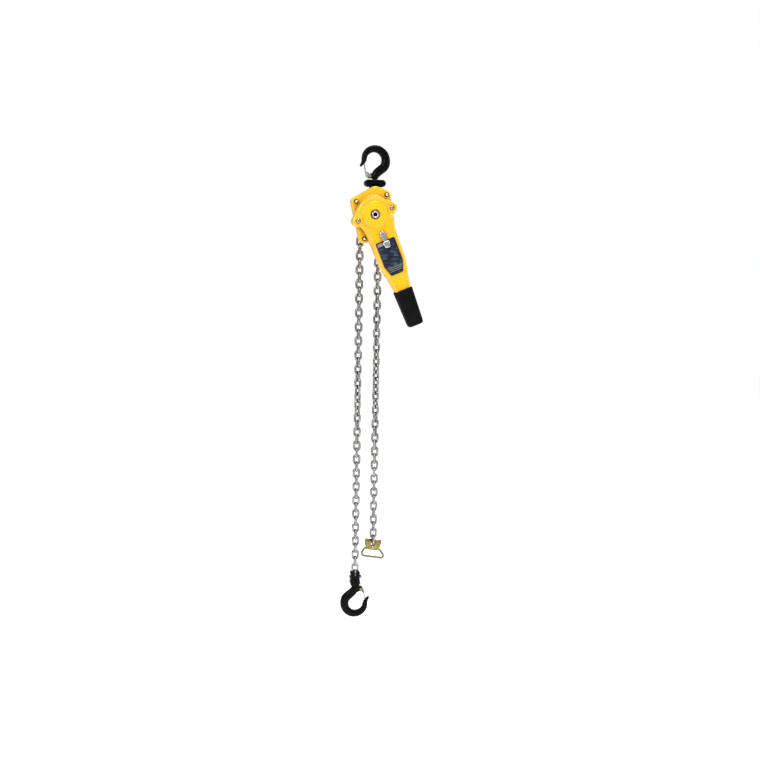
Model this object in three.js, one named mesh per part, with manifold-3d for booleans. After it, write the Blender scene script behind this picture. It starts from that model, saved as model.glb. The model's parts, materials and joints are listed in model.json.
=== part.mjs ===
// Lever chain hoist, 0.75 t class. Millimetres, +Z up, lever side towards -Y.
// Origin of the whole: the middle of the top hook's saddle, where the hoist hangs.
// The parts are drawn about the hub: X = Z = 0 on the hub axis, Y = 0 in the plane of the chains.
import * as THREE from 'three';
import { mergeVertices } from 'three/addons/utils/BufferGeometryUtils.js';
import Module from 'manifold-3d';

const wasm = await Module();
wasm.setup();

// ---- driving dimensions -------------------------------------------------
const CHAIN = { pitch: 18, bar: 6, thick: 5, width: 20.2, fuse: 0.3 };
const LOAD_LINKS = 52;
const TAIL_LINKS = 46;
const LOAD_TOP_Z = -10;
const TAIL_TOP_Z = -26;
const SHEAVE = {
  pitchR: 23.52, flatR: 21.73, outerR: 26, toothR: 20.4, floorR: 18.7, grooveR: 11, half: 12.5,
};
const PLATE = { inner: 13.3, thick: 3.5 };
const BRAKE_COVER = {
  back: -17.1, face: -40, wall: 2.5, domeR: 45, domeCentre: [4, 5], domeFace: -46.5, crown: 73,
};
const GEAR_COVER = { front: 17.1, back: 58, wall: 2.5, radius: 27, centres: [[4, -12], [4, 12]] };
const LEVER = {
  tilt: 22.2, front: -75, split: -51, back: -48.2, headR: 43.5, earV: 44.8, earR: 14, length: 291,
};
const BODY_TURN = 13.6;
const NUT_CENTRE = [7.2, -4.2];
const NUT_SPAN = [78, 92.8];
const TOP_HOOK_X = 12;
const YOKE = { z: 80, length: 54, height: 18, half: 12, pinZ: 54 };
const HOOK = { bowlR: 19, half: 8, bevel: 2, shankR: 7, shankX: -3 };
const TOP_BOWL_Z = 137;
const BOTTOM_BOWL_Z = -1005;
const BOTTOM_YOKE = { top: -919, bottom: -958, left: -12.5, right: 13, half: 13, pinZ: -933.5 };
const TAIL_CLASP = { pinZ: -841.2, tilt: 9.5, half: 21, ringTop: -17.8, rivetZ: -12.9 };
const GAP = 0.3;
const LOAD_X = -SHEAVE.pitchR;
const TAIL_X = SHEAVE.pitchR;

// ---- materials ----------------------------------------------------------
function material(color, roughness, metalness) {
  return new THREE.MeshStandardMaterial({ color, roughness, metalness });
}
const YELLOW = material(0xf7c200, 0.35, 0.0);
const BLACK = material(0x101114, 0.3, 0.2);
const RUBBER = material(0x17171a, 0.85, 0.0);
const STEEL = material(0x8e9092, 0.4, 1.0);
const BRIGHT = material(0xd5d7da, 0.2, 1.0);
const DARK = material(0x3a3c40, 0.5, 1.0);
const PLATE_BLUE = material(0x1a2436, 0.4, 0.3);
const GOLD = material(0xb39a4a, 0.35, 1.0);
const LINING = material(0x5b4a3c, 0.9, 0.0);

// ---- small helpers ------------------------------------------------------
const rad = THREE.MathUtils.degToRad;
const root = new THREE.Group();

function add(parent, name, geometry, mat, place = [0, 0, 0]) {
  const mesh = new THREE.Mesh(geometry, mat);
  mesh.name = name;
  mesh.position.set(...place);
  parent.add(mesh);
  return mesh;
}

function bare(geometry) {
  const copy = geometry.clone();
  copy.deleteAttribute('normal');
  copy.deleteAttribute('uv');
  return mergeVertices(copy, 1e-4);
}

function solid(geometry) {
  const closed = bare(geometry);
  return new wasm.Manifold(new wasm.Mesh({
    numProp: 3,
    vertProperties: new Float32Array(closed.attributes.position.array),
    triVerts: new Uint32Array(closed.index.array),
  }));
}

function geometryOf(manifold) {
  const mesh = manifold.getMesh();
  const geometry = new THREE.BufferGeometry();
  geometry.setAttribute('position', new THREE.BufferAttribute(new Float32Array(mesh.vertProperties), 3));
  geometry.setIndex(new THREE.BufferAttribute(new Uint32Array(mesh.triVerts), 1));
  return geometry;
}

function join(first, ...others) {
  return geometryOf(others.reduce((sum, next) => sum.add(solid(next)), solid(first)));
}

function cut(first, ...tools) {
  return geometryOf(tools.reduce((rest, tool) => rest.subtract(solid(tool)), solid(first)));
}

// A block given by its lowest and highest corners.
function block(low, high) {
  const size = high.map((v, i) => v - low[i]);
  const centre = high.map((v, i) => (v + low[i]) / 2);
  return new THREE.BoxGeometry(...size).translate(...centre);
}

// A cylinder along Y from y0 to y1, centred on (x, z).
function rodY(radius, y0, y1, x = 0, z = 0, sides = 12) {
  return new THREE.CylinderGeometry(radius, radius, y1 - y0, sides).translate(x, (y0 + y1) / 2, z);
}

function rodX(radius, x0, x1, y = 0, z = 0, sides = 10) {
  return new THREE.CylinderGeometry(radius, radius, x1 - x0, sides)
    .rotateZ(Math.PI / 2).translate((x0 + x1) / 2, y, z);
}

function rodZ(radius, z0, z1, x = 0, y = 0, sides = 12) {
  return new THREE.CylinderGeometry(radius, radius, z1 - z0, sides)
    .rotateX(Math.PI / 2).translate(x, y, (z0 + z1) / 2);
}

// An outline drawn in X and Z, given thickness from y0 to y1.
function slab(outline, y0, y1, curveSegments = 6) {
  return new THREE.ExtrudeGeometry(outline, { depth: y1 - y0, bevelEnabled: false, curveSegments })
    .rotateX(Math.PI / 2).translate(0, y1, 0);
}

// The same, with bevelled edges on both faces.
function bevelled(outline, y0, y1, bevel, segments = 2) {
  return new THREE.ExtrudeGeometry(outline, {
    depth: y1 - y0 - 2 * bevel, bevelEnabled: true, bevelSegments: segments,
    bevelSize: bevel, bevelThickness: bevel, bevelOffset: -bevel, curveSegments: 6,
  }).rotateX(Math.PI / 2).translate(0, y1 - bevel, 0);
}

function polygon(points) {
  return new THREE.Shape(points.map(([x, z]) => new THREE.Vector2(x, z)));
}

// A solid of revolution about the Y axis; the profile is a list of [radius, y], listed with rising y.
function turnedY(profile, sides = 18) {
  const points = profile.map(([r, y]) => new THREE.Vector2(r, y));
  return new THREE.LatheGeometry(points, sides);
}

// Convex outline around a set of circles [x, z, radius], with arcs at each circle.
function aroundCircles(circles, arcSteps = 5) {
  const points = [];
  circles.forEach(([x, z, r], i) => {
    const before = circles[(i + circles.length - 1) % circles.length];
    const after = circles[(i + 1) % circles.length];
    const start = tangentAngle(before, [x, z, r]);
    let end = tangentAngle([x, z, r], after);
    while (end < start) end += 2 * Math.PI;
    for (let k = 0; k <= arcSteps; k += 1) {
      const a = start + ((end - start) * k) / arcSteps;
      points.push(new THREE.Vector2(x + r * Math.cos(a), z + r * Math.sin(a)));
    }
  });
  return new THREE.Shape(points);
}

// Direction of the outward normal of the tangent from circle a to circle b, going anticlockwise.
function tangentAngle(a, b) {
  const dx = b[0] - a[0];
  const dz = b[1] - a[1];
  return Math.atan2(dz, dx) - Math.PI / 2 + Math.asin((a[2] - b[2]) / Math.hypot(dx, dz));
}

// ---- chain --------------------------------------------------------------
// One link standing along Z, its flat side facing Y.
function link(innerHalf = CHAIN.pitch / 2) {
  const halfWidth = CHAIN.width / 2;
  const halfLength = CHAIN.pitch / 2 + CHAIN.bar;
  const outline = polygon([[-halfWidth, -halfLength], [halfWidth, -halfLength], [halfWidth, halfLength],
    [-halfWidth, halfLength]]);
  const inner = halfWidth - CHAIN.bar;
  outline.holes.push(polygon([[inner, -innerHalf], [-inner, -innerHalf], [-inner, innerHalf],
    [inner, innerHalf]]));
  return slab(outline, -CHAIN.thick / 2, CHAIN.thick / 2);
}

// A hanging run: links joined at their contacts, turned a quarter from one to the next.
function chainRun(count, topZ, firstTurn, twist) {
  const links = [];
  for (let i = 0; i < count; i += 1) {
    const turn = firstTurn + 90 * (i % 2) + twist(i);
    links.push(link(CHAIN.pitch / 2 - CHAIN.fuse / 2)
      .rotateZ(rad(turn)).translate(0, 0, topZ - CHAIN.pitch * i));
  }
  return join(...links);
}

// The lay of a run turns smoothly by a total angle between two links.
function layTurn(from, to, total) {
  return (i) => total * THREE.MathUtils.smoothstep(i, from, to);
}

// The links that lie on the sheave, at the given angles from the load side.
function wrappedChain(angles) {
  return join(...angles.map((angle, i) => link(CHAIN.pitch / 2 - CHAIN.fuse)
    .rotateZ(rad(i % 2 ? 0 : 90)).translate(-SHEAVE.flatR, 0, 0).rotateY(rad(angle))));
}

// ---- frame --------------------------------------------------------------
function bodyCorner(sideX, sideZ) {
  const x = (sideX * NUT_SPAN[0]) / 2;
  const z = (sideZ * NUT_SPAN[1]) / 2;
  const a = rad(BODY_TURN);
  return [
    NUT_CENTRE[0] + x * Math.cos(a) - z * Math.sin(a),
    NUT_CENTRE[1] + x * Math.sin(a) + z * Math.cos(a),
  ];
}
// The lower right corner stays behind the lever.
const CORNERS = [bodyCorner(-1, 1), bodyCorner(-1, -1), [48.5, -42], bodyCorner(1, 1)];
const CORNER_R = 11.5;
const STAYS = [[-36.5, 30], [-5, -48], [40, -44], CORNERS[3]];

function bodyOutline(inset = 0) {
  const circles = CORNERS.map(([x, z]) => [x, z, CORNER_R - inset]);
  circles.push([7, BRAKE_COVER.crown - 20, 18 - inset]);
  return aroundCircles(circles, 4);
}

// The front plate carries the cover's four studs; the rear one is smaller.
const PLATE_CROWN = [12, 57, 12];
function frontPlateOutline() {
  return aroundCircles([...CORNERS.map(([x, z]) => [x, z, 9]), PLATE_CROWN], 4);
}

function rearPlateOutline() {
  return aroundCircles([...STAYS.map(([x, z]) => [x, z, 9]), PLATE_CROWN], 4);
}

function sidePlate(outline, y0, y1) {
  const plate = slab(outline, y0, y1);
  return cut(plate, rodY(13, y0 - 1, y1 + 1),
    rodY(4 + GAP, y0 - 1, y1 + 1, TOP_HOOK_X, YOKE.pinZ, 16));
}

function frameParts() {
  const { inner, thick } = PLATE;
  add(root, 'front_side_plate', sidePlate(frontPlateOutline(), -inner - thick, -inner), DARK);
  add(root, 'rear_side_plate', sidePlate(rearPlateOutline(), inner, inner + thick), DARK);
  STAYS.forEach(([x, z], i) => {
    add(root, `frame_stay_${i + 1}`, rodY(4.5, -inner + GAP, inner - GAP, x, z, 12), STEEL);
  });
  add(root, 'suspension_pin', rodY(4, -inner - thick, inner + thick, TOP_HOOK_X, YOKE.pinZ, 16), STEEL);
  const ring = (y0, y1) => ringY(12.6, 8.3, y0, y1);
  add(root, 'front_bearing', ring(-inner - thick, -inner), STEEL);
  add(root, 'rear_bearing', ring(inner, inner + thick), STEEL);
}

// ---- load sheave and gear train ------------------------------------------
function loadSheave() {
  const { outerR, toothR, floorR, grooveR, half } = SHEAVE;
  const profile = [
    [0, -half], [outerR, -half], [outerR, -10.9], [toothR, -10.7], [toothR, -3.4], [grooveR, -3.4],
    [grooveR, 3.4], [toothR, 3.4], [toothR, 10.7], [outerR, 10.9], [outerR, half], [0, half],
  ];
  const pockets = [65, 155, 245, 335].map((angle) => (
    block([-40, -10.6, -15.6], [-floorR, 10.6, 15.6]).rotateY(rad(angle))));
  const bored = cut(turnedY(profile), ...pockets, rodY(4.6, -half - 1, half + 1, 0, 0, 16));
  const journal = (y0, y1) => cut(rodY(8, y0, y1), rodY(4.6, y0 - 1, y1 + 1, 0, 0, 16));
  return join(bored, journal(-16.6, -half + 1), journal(half - 1, 21.5));
}

// A spur gear lying across Y: straight-sided teeth between the root and tip radius.
function gear(teeth, tipR, rootR, y0, y1) {
  const points = [];
  const step = (2 * Math.PI) / teeth;
  for (let i = 0; i < teeth; i += 1) {
    [[0, rootR], [0.45, rootR], [0.6, tipR], [0.85, tipR]].forEach(([part, r]) => {
      const a = step * (i + part);
      points.push(new THREE.Vector2(r * Math.cos(a), r * Math.sin(a)));
    });
  }
  return slab(new THREE.Shape(points), y0, y1);
}

const TRAIN = { centre: 20, teeth: [8, 20, 8, 16], pinionR: 5.5, bigR: 14.1, smallR: 6.5, loadR: 13.1 };
function gearTrain() {
  const pinion = join(rodY(4, -60, 34, 0, 0, 16), gear(TRAIN.teeth[0], TRAIN.pinionR, 4.2, 33.5, 44));
  add(root, 'pinion_shaft', pinion, STEEL);
  const loadGear = cut(gear(TRAIN.teeth[3], TRAIN.loadR, 11.8, 22, 31), rodY(4.6, 21, 32, 0, 0, 16));
  add(root, 'load_gear', loadGear, STEEL);
  [['upper', 1], ['lower', -1]].forEach(([name, side]) => {
    const big = gear(TRAIN.teeth[1], TRAIN.bigR, 12.6, 34, 43);
    const small = gear(TRAIN.teeth[2], TRAIN.smallR, 5.2, 22, 34.5);
    const geometry = join(big, small, rodY(3, 18.5, 50, 0, 0, 12));
    add(root, `${name}_intermediate_gear`, geometry, STEEL, [0, 0, side * TRAIN.centre]);
  });
}

// ---- covers ---------------------------------------------------------------
function gearCover() {
  const { front, back, wall, radius, centres } = GEAR_COVER;
  const pan = (r, y0, y1) => slab(aroundCircles(centres.map(([x, z]) => [x, z, r]), 8), y0, y1);
  const flange = slab(rearPlateOutline(), front, front + wall);
  const shell = join(flange, pan(radius, front + wall / 2, back - 8));
  const crown = bevelled(aroundCircles(centres.map(([x, z]) => [x, z, radius]), 8), back - 14, back, 6);
  return cut(join(shell, crown), pan(radius - wall, front - 1, back - 8),
    pan(radius - 8, back - 10, back - wall));
}

function brakeCover() {
  const { back, face, wall, domeR, domeCentre: [cx, cz], domeFace } = BRAKE_COVER;
  const outer = bevelled(bodyOutline(), face, back + 3, 3);
  const dome = turnedY([[0, domeFace], [domeR - 10, domeFace], [domeR - 4, domeFace + 1.5],
    [domeR, domeFace + 5], [domeR, face + 2], [0, face + 2]], 24).translate(cx, 0, cz);
  const squared = cut(outer, block([-90, back, -90], [90, back + 20, 100]));
  const hollow = slab(bodyOutline(wall), face + wall, back + 1);
  const domeHollow = rodY(domeR - 6, domeFace + wall, face + wall + 1, cx, cz, 18);
  const holes = CORNERS.map(([x, z]) => rodY(3.3, face - 5, back, x, z, 8));
  return cut(join(squared, dome), hollow, domeHollow, rodY(14, domeFace - 1, back), ...holes);
}

// Each cover bolt is its stud with the dome nut run home on it.
function coverFasteners() {
  const { back, face } = BRAKE_COVER;
  CORNERS.forEach(([x, z], i) => {
    const bolt = turnedY([[0, face - 7.5], [2.4, face - 7], [3.6, face - 5.4], [6.2, face - 5],
      [6.4, face - GAP], [3, face - GAP], [3, back], [0, back]], 10);
    add(root, `cover_bolt_${i + 1}`, bolt, BRIGHT, [x, 0, z]);
  });
}

// ---- load brake -------------------------------------------------------------
function ringY(outer, inner, y0, y1, sides = 18) {
  return cut(rodY(outer, y0, y1, 0, 0, sides), rodY(inner, y0 - 1, y1 + 1, 0, 0, sides));
}

function brakeParts() {
  add(root, 'brake_seat', join(ringY(9, 4.4, -38, -18), ringY(28, 4.4, -21.5, -18.5)), STEEL);
  add(root, 'rear_brake_lining', ringY(28, 9.4, -24.8, -21.8), LINING);
  add(root, 'ratchet_disc', cut(gear(12, 36, 32, -29.2, -25.1), rodY(9.4, -30, -24)), STEEL);
  add(root, 'front_brake_lining', ringY(28, 9.4, -32.5, -29.5), LINING);
  [['left', CORNERS[0]], ['right', CORNERS[2]]].forEach(([side, [x, z]]) => {
    const angle = Math.atan2(z, x);
    const pivot = [43 * Math.cos(angle), 43 * Math.sin(angle)];
    const tip = [39 * Math.cos(angle + rad(20)) - pivot[0], 39 * Math.sin(angle + rad(20)) - pivot[1]];
    const pawl = slab(aroundCircles([[0, 0, 5], [...tip, 2]], 5), -29.2, -25.1);
    add(root, `${side}_brake_pawl`, cut(pawl, rodY(2.8, -30, -24, 0, 0, 12)), STEEL, [pivot[0], 0, pivot[1]]);
    add(root, `${side}_pawl_pin`, rodY(2.5, -33, -17.1, ...pivot, 12), STEEL);
  });
}

// ---- lever ------------------------------------------------------------------
// Drawn hanging straight down from the hub, then tilted with its group.
const lever = new THREE.Group();
lever.rotation.y = rad(-LEVER.tilt);
root.add(lever);

const NECK = [[34.8, -57], [33.5, -99], [32.6, -131], [25.8, -161], [20.9, -191]];
function leverOutline(endZ, endHalf, inset = 0) {
  const { headR, earV, earR } = LEVER;
  const r = earR - inset;
  const shoulder = tangentAngle([earV, 0, r], [0, 0, headR - inset]);
  const right = [[endHalf - inset, endZ]];
  [...NECK].reverse().forEach(([x, z]) => right.push([x - inset, z]));
  right.push([36.6 - inset, -30], [41 - inset, -16.5 + inset]);
  for (let k = 0; k <= 6; k += 1) {
    const a = rad(-72) + ((shoulder + rad(72)) * k) / 6;
    right.push([earV + r * Math.cos(a), r * Math.sin(a)]);
  }
  for (let k = 0; k <= 5; k += 1) {
    const a = shoulder + ((Math.PI / 2 - shoulder) * k) / 5;
    right.push([(headR - inset) * Math.cos(a), (headR - inset) * Math.sin(a)]);
  }
  const left = [...right].reverse().slice(1).map(([x, z]) => [-x, z]);
  return new THREE.Shape([...right, ...left].map(([x, z]) => new THREE.Vector2(x, z)));
}

const SELECTOR_Z = -51.4;
function leverShells() {
  const { front, split, back, earV, headR } = LEVER;
  const pressing = bevelled(leverOutline(-287, 16), front, split + 3, 3);
  const blank = cut(pressing, block([-90, split, -320], [90, 0, 90]));
  const room = aroundCircles([[0, 0, headR - 6], [0, -70, 27]], 6);
  const slot = block([-15, front + 4, -185], [15, split + 1, -60]);
  const shell = cut(blank, slab(room, front + 3, split + 1), slot,
    rodY(12.7, front - 2, split, 0, 0, 24), rodY(4.3, front - 2, split, 0, SELECTOR_Z, 16),
    rodY(3, front - 2, split + 1, earV, 0, 12), rodY(3, front - 2, split + 1, -earV, 0, 12));
  add(lever, 'lever_front_shell', join(shell, ringY(31, 12.7, front - 1.6, front + 1, 24)), YELLOW);
  const plate = slab(leverOutline(-192, 20.8), split + GAP, back);
  add(lever, 'lever_back_plate', cut(plate, rodY(15, split, back + 1, 0, 0, 32),
    rodY(3, split, back + 1, earV, 0, 12), rodY(3, split, back + 1, -earV, 0, 12)), YELLOW);
  [['left', -1], ['right', 1]].forEach(([side, sign]) => {
    const screw = turnedY([[0, front - 1.8], [4, front - 1.8], [5.4, front - 1], [5.4, front - GAP],
      [2.7, front - GAP], [2.7, back - 0.1], [0, back - 0.1]], 10);
    add(lever, `${side}_lever_screw`, screw, DARK, [sign * earV, 0, 0]);
  });
}

function gripParts() {
  const { front, split, length } = LEVER;
  const mid = (front + split) / 2;
  const half = 14.5;
  const body = bevelled(polygon([[-24, -197], [-20, 4 - length], [-16, -length], [16, -length],
    [20, 4 - length], [24, -197]]), mid - half, mid + half, 4);
  const socket = slab(leverOutline(-287.4, 16.4, -0.4), front - 0.4, split + 0.4);
  add(lever, 'rubber_grip', cut(body, socket), RUBBER);
  const plate = polygon([[-24.8, -67], [-24.8, -127], [-15.5, -154], [15.5, -154], [24.8, -127],
    [24.8, -67]]);
  add(lever, 'name_plate', slab(plate, front - 1.3, front - GAP), PLATE_BLUE);
}

function changeOver() {
  const { front } = LEVER;
  const hub = join(gear(14, 24, 20, -69, -58), rodY(11, -72, -48.5, 0, 0, 32), rodY(9, -74.5, -70, 0, 0, 6));
  add(lever, 'change_gear', cut(hub, rodY(5.2, -80, -45, 0, 0, 20)), STEEL);
  const arm = slab(aroundCircles([[0, SELECTOR_Z, 8], [0, -68, 5]], 6), front - 4.6, front - 2.1);
  const lobes = slab(aroundCircles([[-5.5, -76, 3.2], [-3, -82, 4], [3, -82, 4], [5.5, -76, 3.2]], 4),
    front - 7.5, front - 2.1);
  const stud = turnedY([[0, front - 6.4], [3, front - 6.4], [4.4, front - 5.4], [4.4, front - 2.4],
    [0, front - 2.4]], 16).translate(0, 0, SELECTOR_Z);
  const washer = rodY(9.2, front - 2.2, front - GAP, 0, SELECTOR_Z, 24);
  const spindle = rodY(4, front - 3, -53, 0, SELECTOR_Z, 16);
  const neck = block([-4, front - 4.6, -76], [4, front - 2.1, -68]);
  add(lever, 'selector_lever', join(arm, lobes, neck, stud, washer, spindle), BRIGHT);
  const claws = aroundCircles([[0, 0, 6.6], [4.5, 23.4, 2], [-4.5, 23.4, 2]], 4);
  const pawl = cut(slab(claws, -68, -59), rodY(4.2, -70, -50, 0, 0, 16));
  add(lever, 'change_pawl', pawl, STEEL, [0, 0, SELECTOR_Z]);
}

// ---- hooks ------------------------------------------------------------------
// Drawn with the bowl centre at the origin, the shank upwards and the mouth to +X.
function hookOutline() {
  const { bowlR, shankR, shankX } = HOOK;
  const facet = 22.5;
  const points = [[shankX - shankR - 1.5, 46], [shankX - shankR - 2.5, 39], [-16, 34]];
  const outer = (deg) => 42 - 10.4 * ((deg - 135) / 225) ** 1.4;
  for (let deg = 135; deg <= 360; deg += facet) {
    points.push([outer(deg) * Math.cos(rad(deg)), outer(deg) * Math.sin(rad(deg))]);
  }
  points.push([33.5, 8], [36, 14.5], [33, 17.4], [28.6, 13.5], [24.2, 7]);
  for (let deg = 348.75; deg >= 146.25; deg -= facet) {
    const r = bowlR / Math.cos(rad(facet / 2));
    points.push([r * Math.cos(rad(deg)), r * Math.sin(rad(deg))]);
  }
  points.push([-3, 21.5], [5, 26.5], [9, 33], [14.5, 36], [15.5, 42], [12, 44.5], [shankX + shankR + 1, 46]);
  return polygon(points);
}

const LATCH_PIVOT = [12, 39.5];
function hookSolid(shankTop, neckR, neckTop) {
  const { half, bevel, shankR, shankX } = HOOK;
  return cut(join(bevelled(hookOutline(), -half, half, bevel, 1), rodZ(shankR, 36, shankTop, shankX, 0),
    rodZ(neckR, shankTop - 1, neckTop, shankX, 0)), rodY(1.9, -20, 20, ...LATCH_PIVOT, 12));
}

function ringZ(outer, inner, z0, z1, x = 0, sides = 12) {
  return cut(rodZ(outer, z0, z1, x, 0, sides), rodZ(inner, z0 - 1, z1 + 1, x, 0, sides));
}

// A bent sheet: two cheeks beside the hook's neck, and a tongue down to the tip.
function latchSolid() {
  const [px, pz] = LATCH_PIVOT;
  const tongue = [[px + 6.6, pz + 1.4], [px + 5, pz + 0.6], [23.4, 9.8], [25, 10.2]];
  const cheek = aroundCircles([[px, pz, 4], [px + 7, pz - 11, 1], [px + 5.2, pz, 1]], 4);
  const cheeks = join(slab(cheek, -9.8, -8.4), slab(cheek, 8.4, 9.8));
  const sheet = slab(polygon([...tongue].reverse()), -9.6, 9.6);
  const narrow = [-1, 1].map((side) => (
    block([20, side > 0 ? 6 : -12, 0], [40, side > 0 ? 12 : -6, pz - 12])));
  return cut(join(sheet, cheeks), ...narrow, rodY(1.9, -20, 20, px, pz, 12));
}

// A hook with its nut, latch and latch pin, in its own group.
function hookGroup(prefix, place, turned, shank) {
  const group = new THREE.Group();
  group.position.set(...place);
  group.rotation.y = turned ? Math.PI : 0;
  root.add(group);
  add(group, `${prefix}_hook`, hookSolid(shank.top, shank.neckR, shank.end), BLACK);
  const nut = ringZ(shank.neckR + 3, shank.neckR + GAP, shank.nut, shank.end, HOOK.shankX);
  add(group, `${prefix}_hook_nut`, nut, STEEL);
  add(group, `${prefix}_hook_latch`, latchSolid(), BRIGHT);
  add(group, `${prefix}_latch_pin`, rodY(1.6, -10.2, 10.2, ...LATCH_PIVOT, 12), STEEL);
}

function topSuspension() {
  const { z, length, height, half, pinZ } = YOKE;
  const x = TOP_HOOK_X;
  const r = height / 2;
  const ends = [[x - length / 2 + r, z, r], [x + length / 2 - r, z, r]];
  const bar = bevelled(aroundCircles(ends, 8), -half, half, 3);
  const lug = slab(polygon([[x - 12, z], [x - 9, pinZ - 2], [x - 4, pinZ - 6.4], [x + 4, pinZ - 6.4],
    [x + 9, pinZ - 2], [x + 12, z]]), -half, half);
  const fork = block([x - 20, -8.6, pinZ - 10], [x + 20, 8.6, z - r]);
  add(root, 'top_yoke', cut(join(bar, lug), fork, rodZ(5.3, z - 20, z + 20, x, 0),
    rodY(4.3, -20, 20, x, pinZ, 16)), BLACK);
  const top = TOP_BOWL_Z - z;
  hookGroup('top', [x + HOOK.shankX, 0, TOP_BOWL_Z], true,
    { top: top - r - GAP, neckR: 5, nut: top + r + GAP, end: top + r + 8 });
}

function bottomHookAssembly() {
  const { top, bottom, left, right, half, pinZ } = BOTTOM_YOKE;
  const pocket = block([LOAD_X - 3.1, -10.8, pinZ - 11], [LOAD_X + 3.1, 10.8, top + 1]);
  const slot = block([LOAD_X - 3.1, -half - 1, top - 10], [LOAD_X + 3.1, half + 1, top + 1]);
  const notch = block([LOAD_X - 20, -3.1, top - 6.8], [LOAD_X + 20, 3.1, top + 1]);
  const rivetZ = bottom + 9;
  const yokeHalf = (x0, x1, outer) => {
    const inner = x0 + x1 - outer;
    const side = outer < inner ? 1 : -1;
    const outline = polygon([[inner, bottom], [outer + 5 * side, bottom], [outer, bottom + 7],
      [outer, top - 4], [outer + 3 * side, top], [inner, top]].map(([x, z]) => [x + LOAD_X, z]));
    return cut(slab(outline, -half, half), pocket, slot, notch, rodX(3.1, LOAD_X - 20, LOAD_X + 20, 0, pinZ),
      rodZ(4.9, bottom - 1, bottom + 8, LOAD_X, 0), rodZ(8.1, bottom + 5.3, bottom + 12, LOAD_X, 0),
      ...[-1, 1].map((s) => rodX(2, LOAD_X - 20, LOAD_X + 20, s * (half - 2.6), rivetZ, 10)));
  };
  add(root, 'bottom_yoke_left', yokeHalf(left, -0.15, left), BLACK);
  add(root, 'bottom_yoke_right', yokeHalf(0.15, right, right), BLACK);
  [['front', -1], ['rear', 1]].forEach(([name, s]) => {
    add(root, `${name}_yoke_rivet`, rodX(1.7, LOAD_X + left - 0.8, LOAD_X + right + 0.8,
      s * (half - 2.6), rivetZ, 10), DARK);
  });
  const pin = join(rodX(2.8, LOAD_X + left - 1, LOAD_X + right + 4, 0, pinZ),
    rodX(4.4, LOAD_X + left - 3, LOAD_X + left - GAP, 0, pinZ));
  add(root, 'chain_pin', pin, DARK);
  const clip = cut(rodX(4.6, LOAD_X + right + GAP, LOAD_X + right + 2, 0, pinZ),
    rodX(2.8 + GAP, LOAD_X, LOAD_X + right + 6, 0, pinZ));
  add(root, 'chain_pin_clip', clip, STEEL);
  hookGroup('bottom', [LOAD_X - HOOK.shankX, 0, BOTTOM_BOWL_Z], false, {
    top: bottom - BOTTOM_BOWL_Z - GAP, neckR: 4.5, nut: bottom + 5.7 - BOTTOM_BOWL_Z,
    end: bottom + 11.6 - BOTTOM_BOWL_Z,
  });
}

function tailStop() {
  const { pinZ, tilt, half, ringTop, rivetZ } = TAIL_CLASP;
  const group = new THREE.Group();
  group.position.set(TAIL_X, 0, pinZ);
  group.rotation.y = rad(tilt);
  root.add(group);
  const tube = rodX(6.2, -half, half, 0, 0, 20);
  const sheet = join(block([6 - half, -5, ringTop - 4.6], [half - 6, 5, -2]),
    block([1 - half, -5, ringTop + 4.5], [half - 1, 5, -2]));
  const inside = block([-half - 1, -3.3, ringTop - 3.4], [half + 1, 3.3, -7]);
  const clasp = cut(join(tube, sheet), inside, rodX(3.2, -half - 1, half + 1, 0, 0),
    block([-4.7, -11, -11.2], [4.7, 11, 8]), rodY(2, -9, 9, 0, rivetZ, 12));
  add(group, 'tail_stop_clasp', clasp, GOLD);
  add(group, 'tail_stop_pin', rodX(2.7, -half - 1, half + 1), GOLD);
  add(group, 'tail_stop_rivet', rodY(1.7, -6, 6, 0, rivetZ, 12), BRIGHT);
  const wire = 5.4;
  const loop = (grow) => [
    [-18 - grow, ringTop + grow], [-25 - grow * 1.1, -33], [-21 - grow, -40.5 - grow],
    [31.5 + grow, -40.5 - grow], [35 + grow * 1.1, -34], [20 + grow, ringTop + grow],
  ];
  const ring = polygon(loop(wire / 2));
  ring.holes.push(polygon(loop(-wire / 2)));
  add(group, 'tail_stop_ring', bevelled(ring, -wire / 2, wire / 2, 1.4, 1), GOLD);
}

function chains() {
  const load = chainRun(LOAD_LINKS, LOAD_TOP_Z, 90, layTurn(16, 38, 90));
  add(root, 'load_chain', load, BRIGHT, [LOAD_X, 0, 0]);
  const tail = chainRun(TAIL_LINKS, TAIL_TOP_Z, 90, layTurn(7, 43, 90));
  add(root, 'tail_chain', tail, BRIGHT, [TAIL_X, 0, 0]);
  add(root, 'wrapped_chain', wrappedChain([65, 110]), BRIGHT);
}

frameParts();
add(root, 'load_sheave', loadSheave(), STEEL);
gearTrain();
add(root, 'gear_cover', gearCover(), YELLOW);
add(root, 'brake_cover', brakeCover(), YELLOW);
coverFasteners();
brakeParts();
leverShells();
gripParts();
changeOver();
topSuspension();
bottomHookAssembly();
tailStop();
chains();

// Move the whole so that the top hook's saddle is the origin.
root.position.set(-(TOP_HOOK_X + HOOK.shankX), 0, -(TOP_BOWL_Z + HOOK.bowlR));

export default root;
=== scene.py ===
"""Looks of the lever chain hoist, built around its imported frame."""
import json
import math

import bmesh
import bpy
from mathutils import Matrix, Vector


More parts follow.
